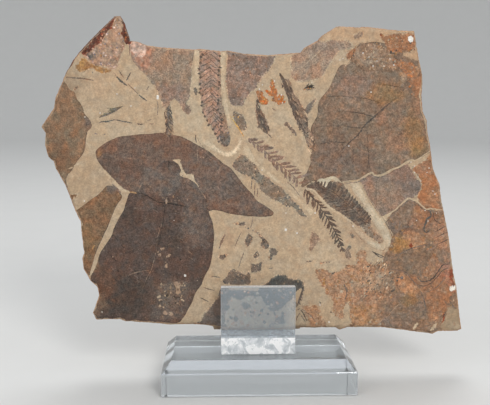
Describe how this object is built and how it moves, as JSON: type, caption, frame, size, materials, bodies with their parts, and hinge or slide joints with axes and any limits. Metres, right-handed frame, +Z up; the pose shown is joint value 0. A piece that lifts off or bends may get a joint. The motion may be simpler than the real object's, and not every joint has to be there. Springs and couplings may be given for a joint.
{
  "type": "fossil leaf slab on a display stand",
  "caption": "Broken slab of tan stone with brown leaf and conifer impressions, standing upright in a clear acrylic stand with a bevelled base.",
  "frame": {"origin": "centre of the underside of the stand's base, on the surface that it stands on", "axes": "+Z up, +X to the right along the slab's width as its leaf side is looked at, +Y towards the slab's plain back"},
  "size_m": [0.2274, 0.0508, 0.194],
  "materials": {
    "tan_stone": "matte",
    "clear_acrylic": "gloss"
  },
  "bodies": {
    "root": {"fossil_plate": "tan_stone", "stand_base": "clear_acrylic", "front_plate": "clear_acrylic", "back_plate": "clear_acrylic", "ledge_block": "clear_acrylic"}
  },
  "joints": []
}
